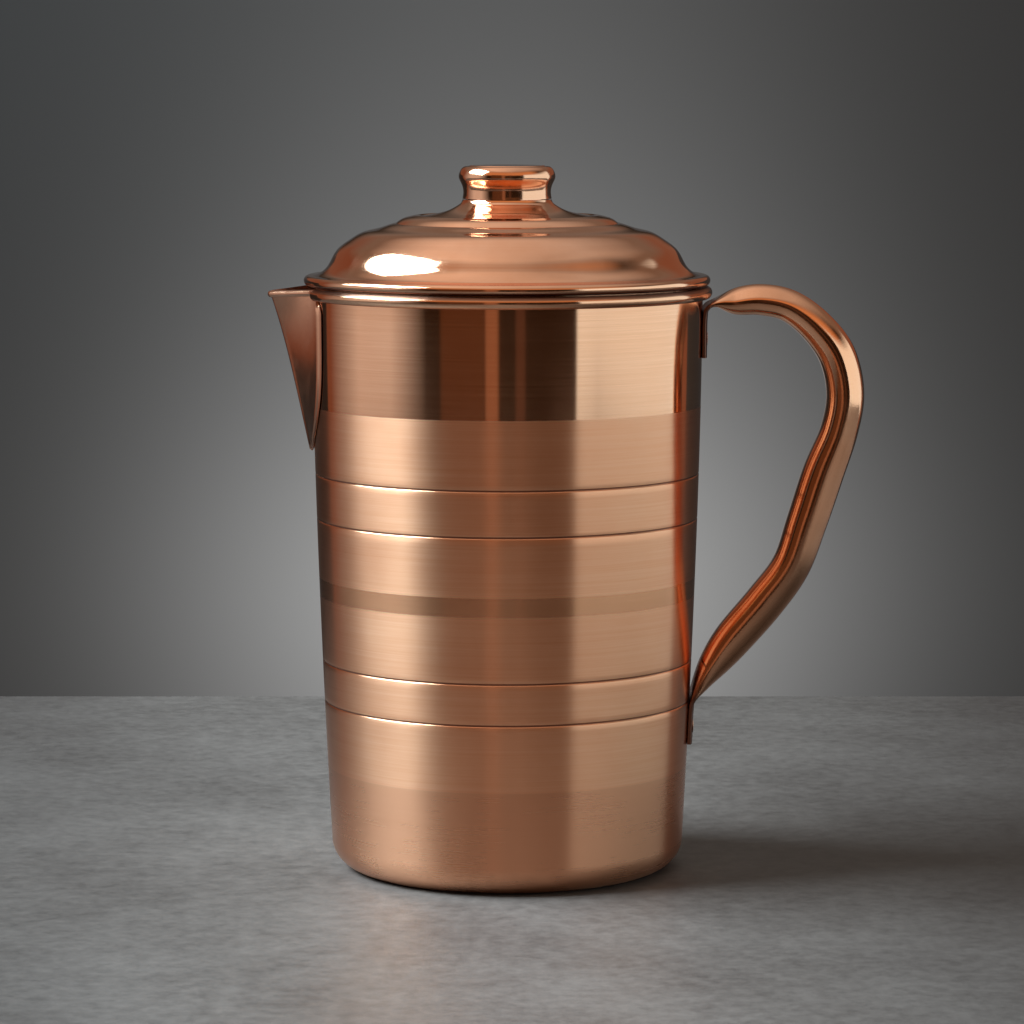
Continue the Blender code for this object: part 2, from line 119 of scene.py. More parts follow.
class Wire:
    """An output socket; arithmetic on it adds Math nodes to its tree."""

    def __init__(self, tree, socket):
        self.tree = tree
        self.socket = socket

    def out(self, key):
        return Wire(self.tree, self.tree.find(self.socket.node.outputs, key))

    def math(self, operation, *values, clamp=False):
        settings = {"operation": operation, "use_clamp": clamp}
        return self.tree.node("ShaderNodeMath", settings, dict(enumerate(values)))

    def __add__(self, other):
        return self.math("ADD", self, other)

    def __radd__(self, other):
        return self.math("ADD", other, self)

    def __sub__(self, other):
        return self.math("SUBTRACT", self, other)

    def __rsub__(self, other):
        return self.math("SUBTRACT", other, self)

    def __mul__(self, other):
        return self.math("MULTIPLY", self, other)

    def __rmul__(self, other):
        return self.math("MULTIPLY", other, self)

    def __truediv__(self, other):
        return self.math("DIVIDE", self, other)

    def __rtruediv__(self, other):
        return self.math("DIVIDE", other, self)

    def __pow__(self, other):
        return self.math("POWER", self, other)

    def clamped(self):
        return self.math("ADD", self, 0.0, clamp=True)

    def above(self, level, soft):
        """0 below the level and 1 above it, over a soft step."""
        return self.math("MULTIPLY", self - (level - soft / 2), 1 / soft, clamp=True)

    def between(self, low, high, soft):
        return self.above(low, soft) * (1.0 - self.above(high, soft))


class Tree:
    """Adds nodes to one node tree."""

    def __init__(self, tree):
        self.tree = tree

    @staticmethod
    def find(sockets, key):
        if isinstance(key, int):
            return sockets[key]
        for socket in sockets:
            if key in (socket.identifier, socket.name) and socket.enabled:
                return socket
        return sockets[key]

    def node(self, kind, settings=None, inputs=None, output=0):
        node = self.tree.nodes.new(kind)
        for name, value in (settings or {}).items():
            setattr(node, name, value)
        for key, value in (inputs or {}).items():
            target = self.find(node.inputs, key)
            if isinstance(value, Wire):
                self.tree.links.new(value.socket, target)
            else:
                target.default_value = value
        return Wire(self, self.find(node.outputs, output)) if node.outputs else None

    def link(self, wire, node, name):
        self.tree.links.new(wire.socket, node.inputs[name])

    def mix(self, factor, first, second):
        def colour(value):
            return value if isinstance(value, Wire) else (*value, 1.0)
        return self.node("ShaderNodeMix", {"data_type": "RGBA"},
                         {"Factor_Float": factor, "A_Color": colour(first),
                          "B_Color": colour(second)}, "Result_Color")

    def noise(self, vector, scale=1.0, detail=3.0, roughness=0.55):
        return self.node("ShaderNodeTexNoise", None,
                         {"Vector": vector, "Scale": scale, "Detail": detail,
                          "Roughness": roughness})

    def split(self, vector):
        return self.node("ShaderNodeSeparateXYZ", None, {0: vector})


# ---------------------------------------------------------------- turned pieces

def make_lathe():
    """Turns a line of points in the XZ plane round the Z axis into a closed, smooth skin."""
    group = bpy.data.node_groups.new("lathe", "GeometryNodeTree")
    face = group.interface
    face.new_socket("Profile", in_out="INPUT", socket_type="NodeSocketGeometry")
    face.new_socket("Segments", in_out="INPUT", socket_type="NodeSocketInt")
    face.new_socket("Finish", in_out="INPUT", socket_type="NodeSocketMaterial")
    face.new_socket("Turned", in_out="OUTPUT", socket_type="NodeSocketGeometry")
    tree = Tree(group)
    given = tree.node("NodeGroupInput")
    profile, segments = given.out("Profile"), given.out("Segments")
    rows = tree.node("GeometryNodeAttributeDomainSize", None, {"Geometry": profile}, "Point Count")
    grid = tree.node("GeometryNodeMeshGrid", None,
                     {"Vertices X": segments + 1, "Vertices Y": rows})
    index = tree.node("GeometryNodeInputIndex")
    column = (index / rows).math("FLOOR", (index + 0.5) / rows)
    row = index - column * rows
    point = tree.node("GeometryNodeSampleIndex", {"data_type": "FLOAT_VECTOR"},
                      {"Geometry": profile, "Value": tree.node("GeometryNodeInputPosition"),
                       "Index": row})
    turned = tree.node("ShaderNodeVectorRotate", {"rotation_type": "Z_AXIS"},
                       {"Vector": point, "Angle": column / segments * math.tau})
    skin = tree.node("GeometryNodeSetPosition", None, {"Geometry": grid, "Position": turned})
    skin = tree.node("GeometryNodeMergeByDistance", None, {"Geometry": skin, "Distance": 2e-6})
    skin = tree.node("GeometryNodeSetShadeSmooth", None, {"Geometry": skin})
    skin = tree.node("GeometryNodeRealizeInstances", None, {"Geometry": skin})
    skin = tree.node("GeometryNodeSetMaterial", None,
                     {"Geometry": skin, "Material": given.out("Finish")})
    tree.node("NodeGroupOutput", None, {"Turned": skin})
    return group


def new_object(name, mesh):
    obj = bpy.data.objects.new(name, mesh)
    bpy.context.scene.collection.objects.link(obj)
    return obj


def with_nodes(obj, group, values):
    """Give the object a node modifier with these named inputs."""
    modifier = obj.modifiers.new(group.name, "NODES")
    modifier.node_group = group
    for item in group.interface.items_tree:
        if item.in_out == "INPUT" and item.name in values:
            modifier[item.identifier] = values[item.name]


def finished(obj):
    """Turn the object and its modifiers into one plain mesh."""
    bpy.context.view_layer.update()
    graph = bpy.context.evaluated_depsgraph_get()
    mesh = bpy.data.meshes.new_from_object(obj.evaluated_get(graph), depsgraph=graph)
    obj.modifiers.clear()
    obj.data = mesh
    mesh.name = obj.name
    return obj


def profile_mesh(name, points):
    mesh = bpy.data.meshes.new(name)
    edges = [(i, i + 1) for i in range(len(points) - 1)]
    mesh.from_pydata([(radius, 0.0, height) for radius, height in points], edges, [])
    return mesh


def turned(name, points, finish, segments=AROUND):
    obj = new_object(name, profile_mesh(name, points))
    with_nodes(obj, LATHE, {"Segments": segments, "Finish": finish})
    return obj


def arc(centre, radius, start, end, steps):
    points = []
    for step in range(steps + 1):
        angle = math.radians(start + (end - start) * step / steps)
        points.append((centre[0] + radius * math.cos(angle), centre[1] + radius * math.sin(angle)))
    return points


def through(points, position):
    """A smooth curve (Catmull-Rom) through points of any dimension, at 0 to len(points) - 1."""
    index = min(int(position), len(points) - 2)
    t = position - index
    p1 = Vector(points[index])
    p2 = Vector(points[index + 1])
    p0 = Vector(points[index - 1]) if index else 2 * p1 - p2
    p3 = Vector(points[index + 2]) if index + 2 < len(points) else 2 * p2 - p1
    return 0.5 * (2 * p1 + (p2 - p0) * t + (2 * p0 - 5 * p1 + 4 * p2 - p3) * t ** 2
                  + (3 * p1 - p0 - 3 * p2 + p3) * t ** 3)


def smooth_line(points, step):
    """Points at an even step on a curve of even curvature (natural cubic spline)."""
    points = np.array(points, float)
    lengths = np.linalg.norm(np.diff(points, axis=0), axis=1)
    places = np.concatenate([[0.0], np.cumsum(lengths)])
    system = np.eye(len(points))
    right = np.zeros_like(points)
    for i in range(1, len(points) - 1):
        before, after = lengths[i - 1], lengths[i]
        system[i, i - 1:i + 2] = before, 2 * (before + after), after
        right[i] = 6 * ((points[i + 1] - points[i]) / after - (points[i] - points[i - 1]) / before)
    bend = np.linalg.solve(system, right)
    line = []
    for place in np.linspace(0.0, places[-1], max(2, round(places[-1] / step)) + 1):
        i = min(int(np.searchsorted(places, place, side="right")) - 1, len(points) - 2)
        a = (places[i + 1] - place) / lengths[i]
        b = 1.0 - a
        swing = ((a ** 3 - a) * bend[i] + (b ** 3 - b) * bend[i + 1]) * lengths[i] ** 2 / 6
        line.append(tuple(float(v) for v in a * points[i] + b * points[i + 1] + swing))
    return line


def inner_side(outer, thickness):
    """The other side of a sheet whose outer side runs downwards."""
    inner = []
    for i, (radius, height) in enumerate(outer):
        before = outer[max(i - 1, 0)]
        after = outer[min(i + 1, len(outer) - 1)]
        along = Vector((after[0] - before[0], after[1] - before[1])).normalized()
        if radius == 0.0:
            along = Vector((1.0, 0.0))
        inner.append((max(radius + along.y * thickness, 0.0), height - along.x * thickness))
    return inner


def cut(obj, cutter):
    boolean = obj.modifiers.new("cut", "BOOLEAN")
    boolean.operation = "DIFFERENCE"
    boolean.solver = "EXACT"
    boolean.object = cutter
    cutter.hide_render = True
    return cutter


def loft(name, rings, material=None):
    """A closed body through rings of equal point count, capped at both ends."""
    bm = bmesh.new()
    rows = [[bm.verts.new(point) for point in ring] for ring in rings]
    count = len(rows[0])
    for row, following in zip(rows, rows[1:]):
        for i in range(count):
            j = (i + 1) % count
            bm.faces.new((row[i], row[j], following[j], following[i]))
    bm.faces.new(rows[0][::-1])
    bm.faces.new(rows[-1])
    bmesh.ops.recalc_face_normals(bm, faces=bm.faces)
    mesh = bpy.data.meshes.new(name)
    bm.to_mesh(mesh)
    bm.free()
    mesh.shade_smooth()
    mesh.set_sharp_from_angle(angle=math.radians(35))
    if material:
        mesh.materials.append(material)
    return new_object(name, mesh)


# ---------------------------------------------------------------- body

def wall_radius(height):
    """Outside of the wall, which narrows towards the base."""
    below = max(ROLL_CENTRE[1] - height, 0.0) / ROLL_CENTRE[1]
    return RIM_RADIUS - TAPER * below ** TAPER_POWER


def spaced(low, high, step):
    """Even levels from low to high, about one step apart."""
    count = max(1, round((high - low) / step))
    return [low + (high - low) * i / count for i in range(count + 1)]


def outer_wall():
    """(radius, height) down the outside of the wall, with its engraved lines."""
    levels = {level: 0.0 for level in spaced(BASE_CORNER, ROLL_CENTRE[1], 2.2 * MM)[1:-1]
              if all(abs(level - line) > LINE_WIDTH for line in LINES)}
    for line in LINES:
        for share, depth in ((-0.5, 0.0), (-0.36, 0.12), (-0.07, 0.95), (0.07, 0.95),
                             (0.36, 0.12), (0.5, 0.0)):
            levels[line + share * LINE_WIDTH] = depth * LINE_DEPTH
    return [(wall_radius(level) - levels[level], level) for level in sorted(levels, reverse=True)]


def make_jug_wall(finish):
    """One sheet: base, rounded corner, wall and the rim rolled over its wire."""
    corner = (wall_radius(BASE_CORNER) - BASE_CORNER, BASE_CORNER)
    floor = [(share * corner[0], SHEET) for share in (0.0, 0.2, 0.4, 0.6, 0.8)]
    inner_wall = [(wall_radius(level) - SHEET, level)
                  for level in spaced(BASE_CORNER, ROLL_CENTRE[1], 4 * MM)[1:-1]]
    points = (floor + arc(corner, BASE_CORNER - SHEET, -90, 0, 12) + inner_wall
              + arc(ROLL_CENTRE, RIM_ROLL, 180, -115, 28)
              + arc(ROLL_CENTRE, RIM_ROLL - SHEET, -115, 180, 14)
              + outer_wall() + arc(corner, BASE_CORNER, 0, -90, 18)
              + [(share * corner[0], 0.0) for share in (0.8, 0.5, 0.25, 0.0)])
    wall = turned("jug_wall", points, finish)
    cutters = [cut(wall, cutter) for cutter in [rim_gap(), pouring_notch()] + rivet_holes()]
    finished(wall)
    for cutter in cutters:
        bpy.data.objects.remove(cutter)
    wall.data.set_sharp_from_angle(angle=math.radians(38))
    return wall


def rim_gap():
    """Cutter for the gap in the rolled rim that the spout stands in."""
    edge = SPOUT_HALF_ANGLE + RIM_LAP / (RIM_RADIUS + GAP)
    half = (RIM_RADIUS + GAP + SHEET) * math.sin(edge) + GAP
    low, high = ROLL_BOTTOM - GAP, BODY_HEIGHT + PAST
    rings = [[(x, -half, low), (x, half, low), (x, half, high), (x, -half, high)]
             for x in (-RIM_RADIUS - 2 * PAST, -RIM_RADIUS + 2 * PAST)]
    return loft("rim_gap", rings)


def pouring_notch():
    """Cutter for the V in the wall behind the spout."""
    half = 0.78 * RIM_RADIUS * math.sin(SPOUT_HALF_ANGLE)
    low, high = SPOUT_LOW.z + NOTCH_SOLE, BODY_HEIGHT + PAST
    rings = [[(x, -half, high), (x, half, high), (x, 1 * MM, low), (x, -1 * MM, low)]
             for x in (-RIM_RADIUS - 2 * PAST, -RIM_RADIUS + 12 * MM)]
    return loft("pouring_notch", rings)


def along_x(name, profile, height, side):
    """A round body on an axis along X, through its (x, radius) profile."""
    rings = [[(x, side + radius * math.cos(math.tau * i / 48),
               height + radius * math.sin(math.tau * i / 48)) for i in range(48)]
             for x, radius in profile]
    return loft(name, rings)


def rivet_places():
    return [((low + high) / 2, side * RIVET_SPREAD)
            for low, high in (UPPER_TAB, LOWER_TAB) for side in (-1, 1)]


def rivet_holes():
    return [along_x("hole", [(wall_radius(height) + 3 * MM, RIVET_RADIUS + GAP),
                             (wall_radius(height) - 4 * MM, RIVET_RADIUS + GAP)], height, side)
            for height, side in rivet_places()]


# ---------------------------------------------------------------- spout

def spout_edge(height):
    """How far the front edge of the spout stands from the jug's axis."""
    top, bottom = BODY_HEIGHT - SPOUT_DROOP, SPOUT_LOW.z
    rise = (height - bottom) / (top - bottom)
    foot = wall_radius(bottom) + 3 * GAP
    tip = -SPOUT_LOW.x - SHEET - HEM_SWELL
    return foot + (tip - foot) * (0.86 * rise + 0.14 * rise ** 4)


def seam_angle(height):
    """Half the angle that the spout spans on the wall."""
    below = (BODY_HEIGHT - height) / (BODY_HEIGHT - SPOUT_LOW.z)
    return SPOUT_HALF_ANGLE * (1 - 0.97 * below ** 5)


def spout_half_section(height, tip_height, lap):
    """Plan of one half of the folded sheet, from the lap's edge to the middle of the nose."""
    radius = wall_radius(height) + GAP
    angle = seam_angle(height)
    edge = spout_edge(tip_height)
    seam = Vector((radius * math.cos(angle), radius * math.sin(angle)))
    nose = min(SPOUT_NOSE, seam.y / 2)
    corner = Vector((edge - 0.4 * nose, nose))
    points = [Vector((radius * math.cos(angle + lap / radius * share),
                      radius * math.sin(angle + lap / radius * share)))
              for share in (1.0, 0.7, 0.4)]
    bend = min(1.2 * MM, lap)
    lap_side = (points[-1] - seam).normalized() * 0.35 * bend
    side = (corner - seam).normalized()
    points += [seam + lap_side, seam + side * 0.5 * bend]
    reach = (corner - seam).length
    points += [seam + side * reach * share for share in (0.15, 0.35, 0.55, 0.75, 0.9)]
    points += [corner, Vector((edge - 0.12 * nose, 0.62 * nose)), Vector((edge, 0.22 * nose)),
               Vector((edge, 0.0))]
    heights = []
    for point in points:
        forward = min(max((point.x - seam.x) / max(corner.x - seam.x, 1e-6), 0.0), 1.0)
        heights.append(height + (tip_height - height) * forward)
    return [(point.x, point.y, level) for point, level in zip(points, heights)]


def spout_thickness(below_lip, across):
    """The lap thins out to its edge, and the lip swells into a rounded hem."""
    thick = SHEET * (0.1 + 0.9 * min(across / 0.22, 1.0) ** 1.5)
    turn = min(max(1.0 - 2.0 * below_lip / HEM_HEIGHT, -1.0), 1.0)
    swell = HEM_SWELL * math.sqrt(1.0 - turn * turn) * min(across / 0.16, 1.0)
    if below_lip == 0.0:
        thick *= 0.5
    return thick + swell


def spout_rows():
    """Rows of points on the inner side of the sheet and how far each lies below the lip."""
    bottom = SPOUT_LOW.z
    depth = BODY_HEIGHT - GAP / 3 - bottom
    hem = [1.0 - (1.0 - math.cos(math.pi * step / HEM_ROWS)) / 2 * HEM_HEIGHT / depth
           for step in range(HEM_ROWS, -1, -1)]
    shares = [i / SPOUT_ROWS * hem[0] for i in range(SPOUT_ROWS)] + hem
    rows = []
    for share in shares:
        height = bottom + depth * share
        tip_height = bottom + (BODY_HEIGHT - SPOUT_DROOP - bottom) * share
        room = min(max((ROLL_BOTTOM - 2 * GAP - height) / SPOUT_FLANGE, 0.0), 1.0)
        half = spout_half_section(height, tip_height, RIM_LAP + (SPOUT_FLANGE - RIM_LAP) * room)
        rows.append([Vector((-x, y, z)) for x, y, z in
                     half + [(x, -y, z) for x, y, z in reversed(half[:-1])]])
    return rows, [(1.0 - share) * depth for share in shares]


def outer_side(rows, below_lip):
    """The same rows on the outer side of the sheet."""
    last, end = len(rows) - 1, len(rows[0]) - 1
    outer = []
    for i, row in enumerate(rows):
        outer.append([])
        for j, point in enumerate(row):
            beside = row[min(j + 1, end)] - row[max(j - 1, 0)]
            up = rows[min(i + 1, last)][j] - rows[max(i - 1, 0)][j]
            across = 1.0 - abs(2.0 * j / end - 1.0)
            thick = spout_thickness(below_lip[i], across)
            outer[i].append(point + beside.cross(up).normalized() * thick)
    return outer


def make_spout(finish):
    rows, below_lip = spout_rows()
    bm = bmesh.new()
    inside = bm.verts.layers.float.new("inside")
    inner = [[bm.verts.new(point) for point in row] for row in rows]
    for vert in bm.verts:
        vert[inside] = 1.0
    outer = [[bm.verts.new(point) for point in row] for row in outer_side(rows, below_lip)]
    last, count = len(rows) - 1, len(rows[0])
    for i in range(last):
        for j in range(count - 1):
            bm.faces.new((inner[i][j], inner[i + 1][j], inner[i + 1][j + 1], inner[i][j + 1]))
            bm.faces.new((outer[i][j], outer[i][j + 1], outer[i + 1][j + 1], outer[i + 1][j]))
        bm.faces.new((inner[i][0], outer[i][0], outer[i + 1][0], inner[i + 1][0]))
        bm.faces.new((inner[i][-1], inner[i + 1][-1], outer[i + 1][-1], outer[i][-1]))
    for j in range(count - 1):
        bm.faces.new((inner[0][j], inner[0][j + 1], outer[0][j + 1], outer[0][j]))
        bm.faces.new((inner[last][j], outer[last][j], outer[last][j + 1], inner[last][j + 1]))
    bmesh.ops.recalc_face_normals(bm, faces=bm.faces)
    mesh = bpy.data.meshes.new("spout_sheet")
    bm.to_mesh(mesh)
    bm.free()
    mesh.shade_smooth()
    mesh.set_sharp_from_angle(angle=math.radians(60))
    mesh.materials.append(finish)
    return new_object("spout_sheet", mesh)


# ---------------------------------------------------------------- handle

def tab_centre(height):
    return wall_radius(height) + TAB_GAP + TAB_THICK / 2


def fall_away(height, across):
    """How far the round wall lies behind its foremost line."""
    radius = wall_radius(height)
    return radius - math.sqrt(radius ** 2 - across ** 2)


def handle_stations():
    """Centre line and section: (x, z, half thickness, half width, squareness)."""
    flat = TAB_THICK / 2
    tab = TAB_WIDTH / 2 - 0.01 * MM
    wide = HANDLE_WIDTH / 2
    deep = HANDLE_DEPTH / 2
    low, high = UPPER_TAB
    foot, ankle = LOWER_TAB
    upper = tab_centre(high)
    lower = tab_centre(foot)
    span = HANDLE_HIGH.x - 0.01 * MM - deep - upper
    drop = high - ankle
    return [
        (tab_centre(low), low, flat, tab, 6.0),
        (upper, high, flat, tab, 6.0),
        (upper + 0.5 * TAB_THICK, high + 0.028 * drop, flat, tab, 5.0),
        (upper + 0.074 * span, high + 0.039 * drop, 1.6 * flat, 1.1 * wide, 3.5),
        (upper + 0.204 * span, high + 0.042 * drop, 0.68 * deep, wide, 2.0),
        (upper + 0.391 * span, high + 0.047 * drop, 0.82 * deep, wide, 2.0),
        (upper + 0.596 * span, high + 0.031 * drop, 0.855 * deep, wide, 2.0),
        (upper + 0.787 * span, high - 0.020 * drop, 0.92 * deep, wide, 2.0),
        (upper + 0.939 * span, high - 0.094 * drop, 0.985 * deep, wide, 2.0),
        (upper + span, high - 0.191 * drop, deep, wide, 2.0),
        (upper + 0.959 * span, high - 0.289 * drop, deep, wide, 2.0),
        (upper + 0.848 * span, high - 0.398 * drop, 1.1 * deep, wide, 2.0),
        (upper + 0.735 * span, high - 0.523 * drop, 1.08 * deep, wide, 2.0),
        (upper + 0.622 * span, ankle + 0.3625 * drop, 1.03 * deep, wide, 2.0),
        (upper + 0.437 * span, ankle + 0.269 * drop, 1.065 * deep, wide, 2.0),
        (lower + 0.313 * span, ankle + 0.177 * drop, 1.03 * deep, wide, 2.0),
        (lower + 0.183 * span, ankle + 0.116 * drop, 0.84 * deep, wide, 2.0),
        (lower + 0.083 * span, ankle + 0.0625 * drop, 0.48 * deep, 1.05 * wide, 2.6),
        (lower + 0.029 * span, ankle + 0.027 * drop, 1.4 * flat, tab, 4.5),
        (tab_centre(ankle), ankle, flat, tab, 6.0),
        (lower, foot, flat, tab, 6.0),
    ]


def section(stations, position, sides):
    x, z, thick, wide, square = through(stations, position)
    before = through(stations, max(position - 0.01, 0.0))
    after = through(stations, min(position + 0.01, len(stations) - 1))
    along = Vector((after[0] - before[0], 0.0, after[1] - before[1])).normalized()
    outward = Vector((-along.z, 0.0, along.x))
    centre = Vector((x, 0.0, z))
    ring = []
    for side in range(sides):
        turn = math.tau * (side + 0.5) / sides + math.pi
        out, across = math.cos(turn), math.sin(turn)
        usual = INNER_SQUARENESS if out < 0 else OUTER_SQUARENESS
        power = 2 / (usual + max(square - 2.0, 0.0))
        out = math.copysign(abs(out) ** power, out) * thick
        across = math.copysign(abs(across) ** power, across) * wide
        hug = min(max((square - 2.0) / 4.0, 0.0), 1.0) * fall_away(z, across)
        ring.append(centre + outward * out + Vector((-hug, across, 0.0)))
    return ring


def make_handle(finish):
    stations = handle_stations()
    last = len(stations) - 1
    steps = 12
    rings = [section(stations, i / steps, 48) for i in range(last * steps + 1)]
    return loft("handle_tube", rings, finish)


def make_rivets(finish):
    """Flush outside in the tabs, with low domed heads inside the wall."""
    joined = bmesh.new()
    for height, side in rivet_places():
        face = tab_centre(height) + TAB_THICK / 2 - fall_away(height, RIVET_SPREAD)
        inside = wall_radius(height) - SHEET
        seat = math.sqrt(inside ** 2 - (RIVET_SPREAD + RIVET_HEAD) ** 2) - GAP
        profile = [(face, 0.0001 * MM), (face, RIVET_RADIUS + TAB_THICK / 2 - 0.1 * MM),
                   (face - 0.1 * MM, RIVET_RADIUS + TAB_THICK / 2),
                   (face - TAB_THICK / 2, RIVET_RADIUS), (seat, RIVET_RADIUS)]
        profile += [(seat - RIVET_DOME * math.sin(math.radians(turn)),
                     RIVET_HEAD * math.cos(math.radians(turn))) for turn in (0, 20, 40, 60, 80)]
        piece = along_x("rivet", profile, height, side)
        joined.from_mesh(piece.data)
        bpy.data.objects.remove(piece)
    mesh = bpy.data.meshes.new("rivets")
    joined.to_mesh(mesh)
    joined.free()
    mesh.shade_smooth()
    mesh.set_sharp_from_angle(angle=math.radians(35))
    mesh.materials.append(finish)
    return new_object("rivets", mesh)


# ---------------------------------------------------------------- lid

def make_lid_shell(finish):
    shoulder = BRIM_TOP + 15.2 * MM
    brim = BRIM_CENTRE[0]
    slope = [
        (NECK_RADIUS, NECK_TOP - GAP),
        (NECK_RADIUS + 0.35 * MM, NECK_TOP - 1.2 * MM),
        (NECK_RADIUS + 1.4 * MM, NECK_TOP - 2.1 * MM),
        (NECK_RADIUS + 4.6 * MM, NECK_TOP - 3.8 * MM),
        (NECK_RADIUS + 8.8 * MM, NECK_TOP - 4.9 * MM),
        (NECK_RADIUS + 13.0 * MM, NECK_TOP - 5.6 * MM),
    ]
    ring = [
        (brim - 36.4 * MM, shoulder + 3.85 * MM),
        (brim - 35.6 * MM, shoulder + 4.15 * MM),
        (brim - 33.4 * MM, shoulder + 3.95 * MM),
        (brim - 31.0 * MM, shoulder + 3.3 * MM),
        (brim - 29.2 * MM, shoulder + 2.3 * MM),
        (brim - 28.3 * MM, shoulder + 1.55 * MM),
    ]
    dome = [
        (brim - 27.6 * MM, shoulder + 1.55 * MM),
        (brim - 25.6 * MM, shoulder + 0.95 * MM),
        (brim - 22.8 * MM, shoulder),
        (brim - 17.6 * MM, shoulder - 1.3 * MM),
        (brim - 12.8 * MM, shoulder - 4.1 * MM),
        (brim - 9.3 * MM, shoulder - 6.9 * MM),
        (brim - 7.6 * MM, shoulder - 9.6 * MM),
        (brim - 6.3 * MM, shoulder - 12.0 * MM),
        (brim - 4.4 * MM, BRIM_TOP + 1.2 * MM),
        (brim - 2.4 * MM, BRIM_TOP + 0.25 * MM),
        (brim - 1.2 * MM, BRIM_TOP + 0.02 * MM),
    ]
    outer = (smooth_line(slope, 0.5 * MM) + smooth_line(ring, 0.35 * MM)
             + smooth_line(dome, 0.6 * MM))
    inner = inner_side(outer, SHEET)
    spigot = NECK_RADIUS - 2 * SHEET - GAP
    top = LID_HIGH.z
    inner[0] = (spigot - SHEET, NECK_TOP - GAP - SHEET)
    points = ([(spigot, top), (spigot, NECK_TOP + 0.1 * MM - GAP)] + outer
              + arc(BRIM_CENTRE, LID_ROLL, 90, -165, 26)
              + arc(BRIM_CENTRE, LID_ROLL - SHEET, -165, 90, 12)
              + inner[::-1] + [(spigot - SHEET, top), (spigot, top)])
    shell = finished(turned("lid_shell", points, finish))
    shell.data.set_sharp_from_angle(angle=math.radians(38))
    return shell


def make_lid_ring(finish):
    """The collar under the brim that keeps the lid central."""
    outside, inside = COLLAR_HIGH.y, COLLAR_HIGH.y - SHEET
    levels = spaced(COLLAR_LOW.z, COLLAR_HIGH.z, 2 * MM)
    points = ([(outside, level) for level in reversed(levels)]
              + [(inside, level) for level in levels] + [(outside, levels[-1])])
    ring = finished(turned("lid_ring", points, finish))
    ring.data.set_sharp_from_angle(angle=math.radians(38))
    return ring


def make_knob(finish):
    top = KNOB_HIGH.z - 0.02 * MM
    reach = KNOB_HIGH.y
    disc = [(0.0, top), (0.3 * reach, top), (0.6 * reach, top), (reach - 3.6 * MM, top - 0.08 * MM)]
    edge = [
        (reach - 3.35 * MM, top - 0.3 * MM),
        (reach - 2.4 * MM, top - 0.3 * MM),
        (reach - 1.2 * MM, top - 0.85 * MM),
        (reach - 0.3 * MM, top - 2.3 * MM),
        (reach - 0.03 * MM, top - 3.7 * MM),
        (reach - 0.9 * MM, top - 6.0 * MM),
        (NECK_RADIUS - 0.25 * MM, top - 8.4 * MM),
        (NECK_RADIUS, NECK_TOP),
    ]
    outer = smooth_line(disc, 2 * MM) + smooth_line(edge, 0.4 * MM)
    inner = inner_side(outer, SHEET)
    inner[-1] = (NECK_RADIUS - SHEET, NECK_TOP)
    knob = finished(turned("knob_spool", outer + inner[::-1], finish, 160))
    knob.data.set_sharp_from_angle(angle=math.radians(38))
    return knob


# ---------------------------------------------------------------- copper

COPPER = (0.90, 0.475, 0.30)
DEEP = (0.62, 0.25, 0.13)
# Near-black brown used for painted shade: in the engraved lines, on the rim's crown under the lid,
# inside the spout, on the handle's tabs against the wall and under the lid's brim.
PAINTED_SHADE = (0.14, 0.055, 0.04)


class Copper:
    """A copper surface that each piece then gives its own roughness, colour and relief."""

    def __init__(self, name, anisotropy=0.0):
        self.material = bpy.data.materials.new(name)
        self.material.use_nodes = True
        self.tree = Tree(self.material.node_tree)
        self.noise, self.mix = self.tree.noise, self.tree.mix
        self.shader = self.material.node_tree.nodes["Principled BSDF"]
        self.shader.inputs["Metallic"].default_value = 1.0
        self.shader.inputs["Anisotropic"].default_value = anisotropy
        self.shader.inputs["Anisotropic Rotation"].default_value = 0.25
        self.place = self.tree.node("ShaderNodeTexCoord", output="Object")
        split = self.tree.split(self.place)
        self.x, self.y, self.z = split.out("X"), split.out("Y"), split.out("Z")
        self.radius = (self.x * self.x + self.y * self.y) ** 0.5

    def vector(self, x, y, z):
        return self.tree.node("ShaderNodeCombineXYZ", None, {0: x, 1: y, 2: z})

    def attribute(self, name):
        return self.tree.node("ShaderNodeAttribute", {"attribute_name": name}, output="Fac")

    def finish(self, colour, roughness, relief, distance):
        self.tree.link(colour, self.shader, "Base Color")
        self.tree.link(roughness.clamped(), self.shader, "Roughness")
        bump = self.tree.node("ShaderNodeBump", None,
                              {"Height": relief, "Strength": 1.0, "Distance": distance})
        self.tree.link(bump, self.shader, "Normal")
        return self.material


